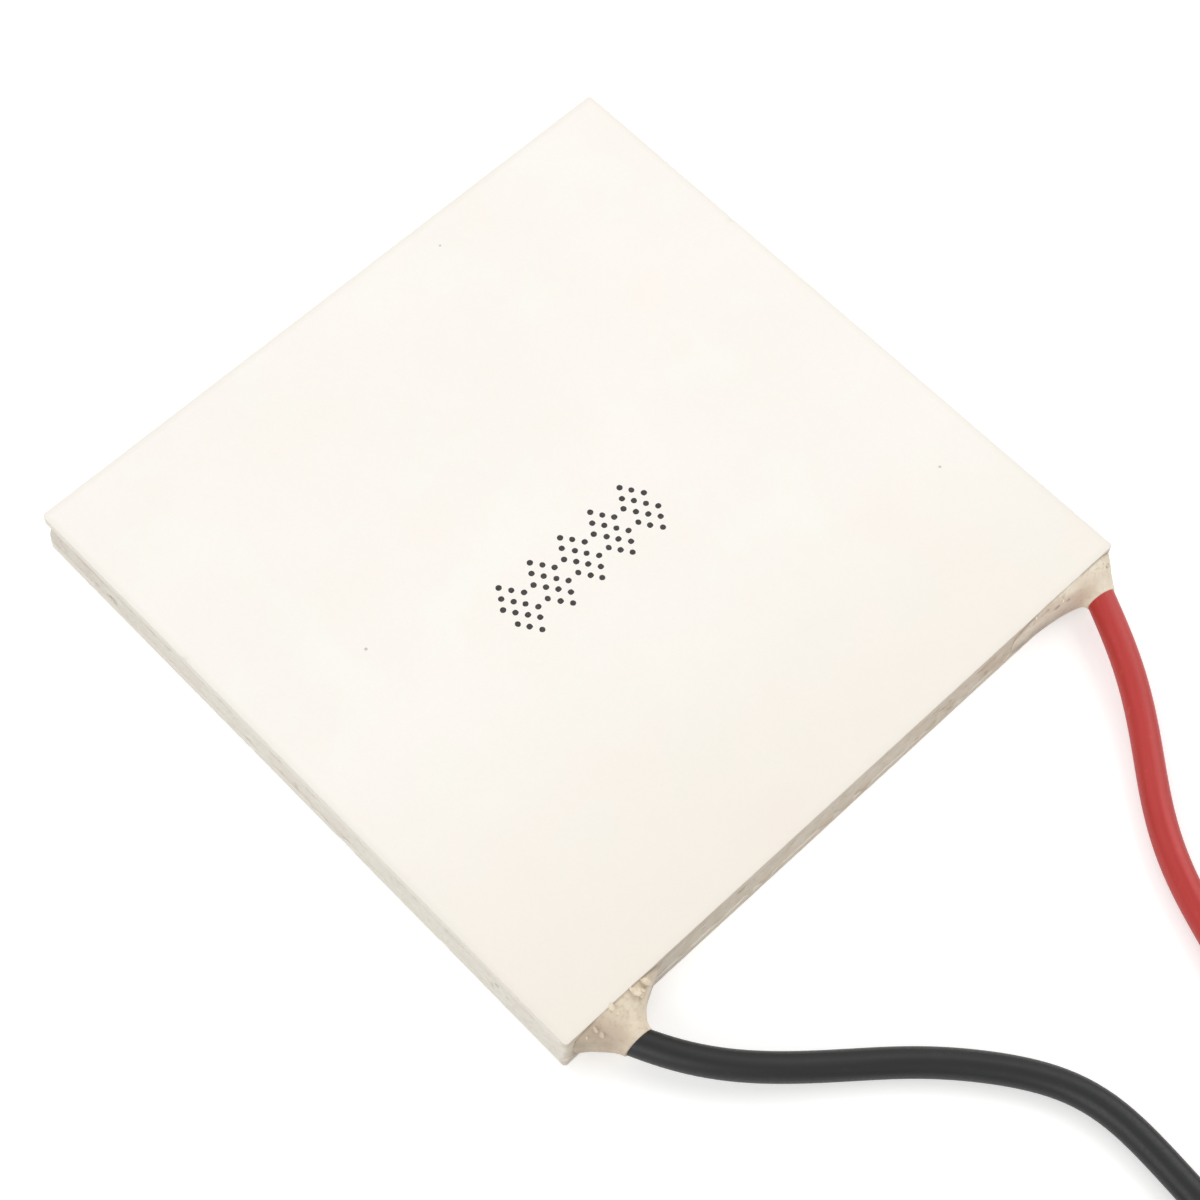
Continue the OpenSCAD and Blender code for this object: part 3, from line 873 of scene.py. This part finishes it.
def paint(red, green, blue):
    # A display colour from 0 to 255 as the renderer's linear one
    share = np.array([red, green, blue]) / 255
    linear = np.where(share <= 0.04045, share / 12.92, ((share + 0.055) / 1.055) ** 2.4)
    return (*linear.tolist(), 1.0)


class Graph:
    # The nodes of a material or of the world
    def __init__(self, owner):
        owner.use_nodes = True
        self.tree = owner.node_tree

    def node(self, kind, settings=None, values=None, output=0):
        # Any node: its settings, then a number or a wire for each socket that is named
        made = self.tree.nodes.new(kind)
        for name, value in (settings or {}).items():
            setattr(made, name, value)
        for name, value in (values or {}).items():
            if isinstance(value, Wire):
                self.tree.links.new(value.socket, made.inputs[name])
            else:
                made.inputs[name].default_value = value
        return Wire(self, made.outputs[output])

    def place(self, kind="Object", shift=(0, 0, 0), stretch=(1, 1, 1)):
        # Where a pattern lies on the piece
        source = self.node("ShaderNodeTexCoord", output=kind)
        return self.node("ShaderNodeMapping", None,
                         {"Vector": source, "Location": shift, "Scale": stretch})

    def noise(self, size, detail=3.0, rough=0.55, **where):
        # Soft blotches of the given size in metres
        return self.node("ShaderNodeTexNoise", None, {
            "Vector": self.place(**where), "Scale": 1 / size, "Detail": detail,
            "Roughness": rough})

    def cells(self, size):
        # The distance to the nearest of scattered points, which are about one size apart
        return self.node("ShaderNodeTexVoronoi", None,
                         {"Vector": self.place(), "Scale": 1 / size}, "Distance")

    def axis(self, number):
        # One coordinate of the place on the piece
        return self.node("ShaderNodeSeparateXYZ", None, {0: self.place()}, number)

    def span(self, value, low, high, first=0.0, last=1.0):
        # Maps low..high to first..last and holds the ends
        return self.node("ShaderNodeMapRange", {"clamp": True}, {
            "Value": value, "From Min": low, "From Max": high, "To Min": first, "To Max": last})

    def swing(self, noise, first=0.0, last=1.0):
        # Maps the range that a noise mostly keeps to
        return self.span(noise, 0.3, 0.7, first, last)

    def blend(self, share, first, second):
        # One colour going over into another, by the sockets that Mix has for colours
        return self.node("ShaderNodeMix", {"data_type": "RGBA"},
                         {0: share, 6: first, 7: second}, 2)

    def blotch(self, tone, colour, share, size, levels, **where):
        # Lays a colour over another in blotches, where a noise is between two levels
        return self.blend(self.span(self.noise(size, **where), *levels) * share, tone, colour)

    def mark(self, name):
        # A number kept at the mesh's points
        return self.node("ShaderNodeAttribute", {"attribute_name": name}, None, "Fac")

    def seen(self, unseen, level):
        # One strength for what is seen directly, mirrored or through glass; one for the rest
        rays = [self.node("ShaderNodeLightPath", output=name)
                for name in ("Is Camera Ray", "Is Glossy Ray", "Is Transmission Ray")]
        return self.span(rays[0] + rays[1] + rays[2], 0, 1, unseen, level)

    def show(self, wire, output):
        # Makes a shader the one that the output node puts on the surface
        self.tree.links.new(wire.socket, self.tree.nodes[output].inputs["Surface"])


class Finish(Graph):
    # A material with one Principled shader, whose constants are set on its own sockets
    def __init__(self, name, **constants):
        self.material = bpy.data.materials.new(name)
        super().__init__(self.material)
        self.shader = self.tree.nodes["Principled BSDF"]
        for socket, value in constants.items():
            self.shader.inputs[socket.replace("_", " ")].default_value = value

    def bump(self, height, distance, strength):
        # Light and dark as if the surface stood higher by distance where height is 1
        self.feed("Normal", self.node("ShaderNodeBump", None, {
            "Height": height, "Distance": distance, "Strength": strength}))

    def feed(self, socket, wire):
        # What changes over the surface
        self.tree.links.new(wire.socket, self.shader.inputs[socket])


alumina = {
    "base": paint(254, 250, 243),
    "blotches": (
        {"colour": paint(252, 247, 240), "share": 1, "size": 9 * mm, "levels": (0.35, 0.65)},
        {"colour": paint(250, 251, 242), "share": 0.5, "size": 5 * mm, "levels": (0.45, 0.7),
         "shift": (0.3, 0.1, 0)},
        {"colour": paint(252, 244, 236), "share": 0.5, "size": 6 * mm, "levels": (0.5, 0.72),
         "shift": (0.7, 0.2, 0)},
    ),
    "nearSideShade": paint(243, 234, 222),  # painted shade, warmer and darker towards the lead side
    "nearSideShadeFrom": (-20 * mm, -1 * mm),  # all of it, and none
    "snapped": paint(232, 227, 216),
    "sideFaceShade": paint(196, 179, 152),  # painted shade: a tan band on the plates' lead-side faces
    "sideFaceShadeFrom": (-19.5 * mm, -19.8 * mm),  # none of it, and all
    "sideFaceShadeSize": 1.4 * mm,
    "chip": paint(216, 208, 194),
    "speck": paint(150, 143, 134),
    "speckGap": 5.5 * mm,
    "grain": paint(226, 222, 214),
    "grainSize": 0.12 * mm,
    "scribe": 0.15 * mm,  # between the fine upright marks on the sides
    "bump": 0.01 * mm,
}


def aluminaFinish():
    # Fired alumina: warm white, faint blotches, greyer and rougher at snapped edges; painted
    # shade at the lead side
    look = Finish("alumina", Roughness=0.6, Specular_IOR_Level=0.35)
    tone = alumina["base"]
    for layer in alumina["blotches"]:
        tone = look.blotch(tone, **layer)
    across, along = look.axis(0), look.axis(1)
    # Painted shade: the top gets warmer and darker towards the lead side
    slant = along * 0.85 + across * 0.14 + look.noise(8 * mm) * (6 * mm)
    tone = look.blend(1 - look.span(slant, *alumina["nearSideShadeFrom"]), tone, alumina["nearSideShade"])
    rim = look.span(look.mark("rim"), 0.6, 0.97, 0, 0.35)
    side = look.span(look.mark("rim"), 0.97, 1.0)
    tone = look.blend(rim + side * 0.5, tone, alumina["snapped"])
    # Painted shade: a tan band on the plates' lead-side faces
    sideFaceShade = look.swing(look.noise(alumina["sideFaceShadeSize"], shift=(0, 0.6, 0)), 0.4, 0.75)
    sideFaceShade = side * look.span(along, *alumina["sideFaceShadeFrom"]) * sideFaceShade
    tone = look.blend(sideFaceShade, tone, alumina["sideFaceShade"])
    tone = look.blend(look.mark("chip") * 0.4, tone, alumina["chip"])
    specks = 1 - look.span(look.cells(alumina["speckGap"]), 0.014, 0.022)
    tone = look.blend(specks * 0.6, tone, alumina["speck"])
    grain = look.noise(alumina["grainSize"], detail=4)
    tone = look.blend(look.span(grain, 0.2, 0.8) * 0.12, tone, alumina["grain"])
    look.feed("Base Color", tone)
    look.feed("Roughness", look.swing(grain, 0.5, 0.68))
    scribe = look.node("ShaderNodeMath", {"operation": "SINE"},
                       {0: (across + along) * (2 * math.pi / alumina["scribe"])})
    look.bump(grain + scribe * side * 0.8, alumina["bump"], 0.5)
    return look.material


silicone = {
    "blotchSize": 2.2 * mm,
    "tan": paint(196, 177, 150),
    "tanFrom": (-19.6 * mm, -19.9 * mm),  # painted shade along the lead side
    "dust": {"colour": paint(176, 158, 132), "size": 0.3 * mm, "levels": (0.52, 0.75),
             "detail": 5, "shift": (0.2, 0, 0)},
    "grit": paint(132, 116, 98),
    "gritGap": 0.5 * mm,
    "gritPatch": 1.1 * mm,
    "creviceShade": paint(148, 130, 108),
    "low": paint(140, 120, 100),
    "fineSize": 0.25 * mm,
    "bump": 0.05 * mm,
}


def siliconeFinish(name, first, second, tanned, dusty, gritty):
    # Off-white sealant with dust in it, browner with painted shade in its voids, low down and on
    # the lead side
    look = Finish(name, Roughness=0.5, Specular_IOR_Level=0.4)
    tone = look.blotch(first, second, 1, silicone["blotchSize"], (0.35, 0.65))
    # Painted shade: browner along the lead side
    leadSide = look.span(look.axis(1) + look.noise(1.2 * mm) * (0.3 * mm), *silicone["tanFrom"])
    tone = look.blend(leadSide * tanned, tone, silicone["tan"])
    tone = look.blotch(tone, share=dusty, **silicone["dust"])
    sandy = look.span(look.noise(silicone["gritPatch"], shift=(0.1, 0.4, 0)), 0.5, 0.62)
    grit = (1 - look.span(look.cells(silicone["gritGap"]), 0.07, 0.13)) * sandy
    tone = look.blend(grit * gritty, tone, silicone["grit"])
    # Painted shade: browner in voids, grooves, joints and gaps
    tone = look.blend(look.mark("creviceShade"), tone, silicone["creviceShade"])
    # Painted shade low on the lumps and round the crumbs' bases; the bead is darker near one
    # corner
    tone = look.blend(look.mark("low") * 0.85, tone, silicone["low"])
    look.feed("Base Color", tone)
    fine = look.noise(silicone["fineSize"], detail=5)
    look.feed("Roughness", look.swing(fine, 0.4, 0.62))
    look.bump(fine, silicone["bump"], 0.7)
    return look.material


pvc = {
    "streakWidth": 0.5 * mm,
    "streakLength": 0.05,  # how much slower the streaks change along the lead than across
    "scuffSize": 0.9 * mm,
    "skinSize": 0.18 * mm,
    "bump": 0.02 * mm,
}


def pvcFinish(name, dark, light, worn):
    # Drawn PVC: long faint streaks, small scuffs, and a satin skin
    look = Finish(name, Roughness=0.48, Specular_IOR_Level=0.4)
    streaks = look.noise(pvc["streakWidth"], kind="UV", stretch=(1, pvc["streakLength"], 1))
    tone = look.blend(look.span(streaks, 0.35, 0.65), dark, light)
    scuffs = look.noise(pvc["scuffSize"], detail=5, kind="UV", shift=(0.4, 0.2, 0))
    scuffs = look.span(scuffs, 0.62, 0.78)
    look.feed("Base Color", look.blend(scuffs * 0.3, tone, worn))
    skin = look.noise(pvc["skinSize"], detail=4, kind="UV")
    look.feed("Roughness", look.swing(skin, 0.36, 0.5) + scuffs * 0.12)
    look.bump(skin * 0.4 + streaks * 0.6, pvc["bump"], 0.6)
    return look.material


def metalFinish(name, bright, dull, metallic, low, high, size):
    # A metal whose shine and tarnish go with the same blotches, under a much finer grain
    look = Finish(name, Metallic=metallic)
    blotch = look.span(look.noise(size, detail=4), 0.35, 0.65)
    look.feed("Base Color", look.blend(blotch, paint(*bright), paint(*dull)))
    fine = look.noise(size / 6)
    look.feed("Roughness", look.swing(fine, low, high) + blotch * 0.1)
    look.bump(fine, 0.02 * mm, 0.5)
    return look.material


def tieFinish():
    # Paper and plastic band, a little creased
    look = Finish("tiePaper", Roughness=0.6)
    crease = look.noise(0.8 * mm, detail=4)
    look.feed("Base Color", look.blend(look.span(crease, 0.35, 0.7),
                                       paint(240, 240, 236), paint(214, 213, 206)))
    look.feed("Roughness", look.swing(crease, 0.5, 0.7))
    look.bump(crease, 0.05 * mm, 0.5)
    return look.material


def inkFinish():
    # Dark jet ink, paler and rougher where it is thin
    look = Finish("ink", Roughness=0.55, Specular_IOR_Level=0.3)
    thin = look.span(look.noise(0.12 * mm), 0.4, 0.7)
    look.feed("Base Color", look.blend(thin, paint(50, 47, 47), paint(76, 72, 71)))
    look.feed("Roughness", look.span(thin, 0, 1, 0.45, 0.65))
    return look.material


metals = {
    # Name, bright and dull colour, how metallic, least and most rough, size of the blotches
    "copper": ("copper", (214, 138, 98), (176, 104, 72), 1.0, 0.25, 0.45, 1.5 * mm),
    "p_type": ("pTypeAlloy", (120, 122, 126), (96, 97, 102), 0.9, 0.35, 0.6, 0.8 * mm),
    "n_type": ("nTypeAlloy", (146, 147, 150), (120, 121, 126), 0.9, 0.35, 0.6, 0.8 * mm),
    "solder": ("solder", (205, 206, 206), (168, 169, 170), 0.95, 0.25, 0.45, 0.6 * mm),
    "tinned_copper": ("tinnedCopper", (208, 206, 202), (184, 176, 164), 1.0, 0.22, 0.4,
                      0.5 * mm),
}
finishes = {slot: metalFinish(*metal) for slot, metal in metals.items()}
finishes |= {
    "alumina": aluminaFinish(),
    "silicone": siliconeFinish("silicone", paint(232, 228, 216), paint(226, 219, 209),
                               tanned=0.78, dusty=0.25, gritty=0.5),
    "black_pvc": pvcFinish("blackPvc", paint(8, 9, 10), paint(20, 21, 21), paint(56, 56, 55)),
    "red_pvc": pvcFinish("redPvc", paint(178, 48, 44), paint(190, 58, 54), paint(212, 102, 96)),
    "tie": tieFinish(),
}
blackLumpLook = siliconeFinish("blackLumpSilicone", paint(240, 226, 202), paint(216, 198, 177),
                               tanned=0.0, dusty=0.45, gritty=0.1)
redLumpLook = siliconeFinish("redLumpSilicone", paint(252, 244, 225), paint(230, 216, 194),
                             tanned=0.0, dusty=0.35, gritty=0.2)
ownLooks = {"ink": inkFinish(), "blackLump": blackLumpLook, "blackCrumbs": blackLumpLook,
            "redLump": redLumpLook, "redCrumbs": redLumpLook}


def dress(piece, material):
    # The piece gets this material and no other
    piece.data.materials.clear()
    piece.data.materials.append(material)


for key, piece in pieces.items():
    for one in piece if isinstance(piece, list) else [piece]:
        dress(one, ownLooks.get(key, finishes[one["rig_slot"]]))

# The nodes inside the stack and the lumps keep their CAD shape
insideNodes = {
    "copper": ("hot_tabs", "cold_tabs", "cold_turns"),
    "p_type": ("p_legs",),
    "n_type": ("n_legs",),
    "solder": ("hot_solder", "cold_solder", "black_solder", "red_solder"),
    "tinned_copper": ("black_lead_end", "red_lead_end"),
}
for node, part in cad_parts.items():
    for slot, starts in insideNodes.items():
        if node.startswith(starts):
            for place in part.material_slots:
                place.material = finishes[slot]

print("stage: floor and light")

stage = {
    "size": 3.0,
    "floor": paint(236, 235, 233),
    "wash": paint(234, 234, 233),  # in blotches
    "washSize": 60 * mm,
    "far": paint(254, 254, 254),
    "lift": 0.42,  # what the floor gives to the camera on top of its own light
    "farLift": 0.62,
    "world": 0.5,
    "below": 0.01 * mm,  # clear of the module's underside
    "open": 180 * mm,  # the floor is palest from here outwards
}


def makeFloor():
    # A flat square under the part, that gets paler and brighter from half the open distance
    half = stage["size"] / 2
    side = np.array([-half, half])
    level = np.full((2, 2), -stage["below"])
    grid = np.stack([*np.meshgrid(side, side, indexing="xy"), level], -1)
    mesh = bpy.data.meshes.new("floor")
    mesh.from_pydata(grid.reshape(-1, 3).tolist(), [], [[0, 1, 3, 2]])
    floor = bpy.data.objects.new("floor", mesh)
    bpy.context.scene.collection.objects.link(floor)
    look = Finish("floorPaper", Roughness=0.9, Specular_IOR_Level=0.0)
    wash = look.blend(look.swing(look.noise(stage["washSize"])), stage["floor"], stage["wash"])
    away = look.node("ShaderNodeVectorMath", {"operation": "LENGTH"}, {0: look.place()}, "Value")
    far = look.span(away, 0.5 * stage["open"], stage["open"])
    look.feed("Base Color", look.blend(far, wash, stage["far"]))
    near = stage["lift"] / stage["farLift"]
    glow = look.node("ShaderNodeEmission", None, {
        "Color": look.blend(far, (near, near, near, 1), (1, 1, 1, 1)),
        "Strength": look.seen(0.0, stage["farLift"])})
    look.show(look.node("ShaderNodeAddShader", None, {
        0: Wire(look, look.shader.outputs[0]), 1: glow}), "Material Output")
    dress(floor, look.material)


def makeWorld():
    # White all round: plain to the eye, and dimmer as light on the part
    world = bpy.data.worlds.new("studio")
    graph = Graph(world)
    graph.show(graph.node("ShaderNodeBackground", None, {
        "Color": (1, 1, 1, 1), "Strength": graph.seen(stage["world"], 1.0)}), "World Output")
    bpy.context.scene.world = world


lights = {
    "right": {"place": (0.42, -0.12, 0.4), "size": 0.5, "power": 1.5},
    "back": {"place": (0.1, 0.42, 0.42), "size": 0.5, "power": 0.7},
    "left": {"place": (-0.5, -0.1, 0.3), "size": 0.4, "power": 1.2},
}


def makeLight(name, place, size, power):
    # A square lamp that faces the origin: tipped up from straight down by the arc cosine of
    # how far down it points, then turned to its bearing
    data = bpy.data.lights.new(name, "AREA")
    data.shape, data.size, data.energy = "SQUARE", size, power
    lamp = bpy.data.objects.new(name, data)
    lamp.location = place
    direction = -np.array(place) / np.linalg.norm(place)
    lamp.rotation_euler = (math.acos(-direction[2]), 0,
                           math.atan2(direction[1], direction[0]) - math.pi / 2)
    bpy.context.scene.collection.objects.link(lamp)


makeFloor()
makeWorld()
for name, light in lights.items():
    makeLight(name, **light)

bpy.context.scene.view_settings.view_transform = "Standard"

print("stage: finish")
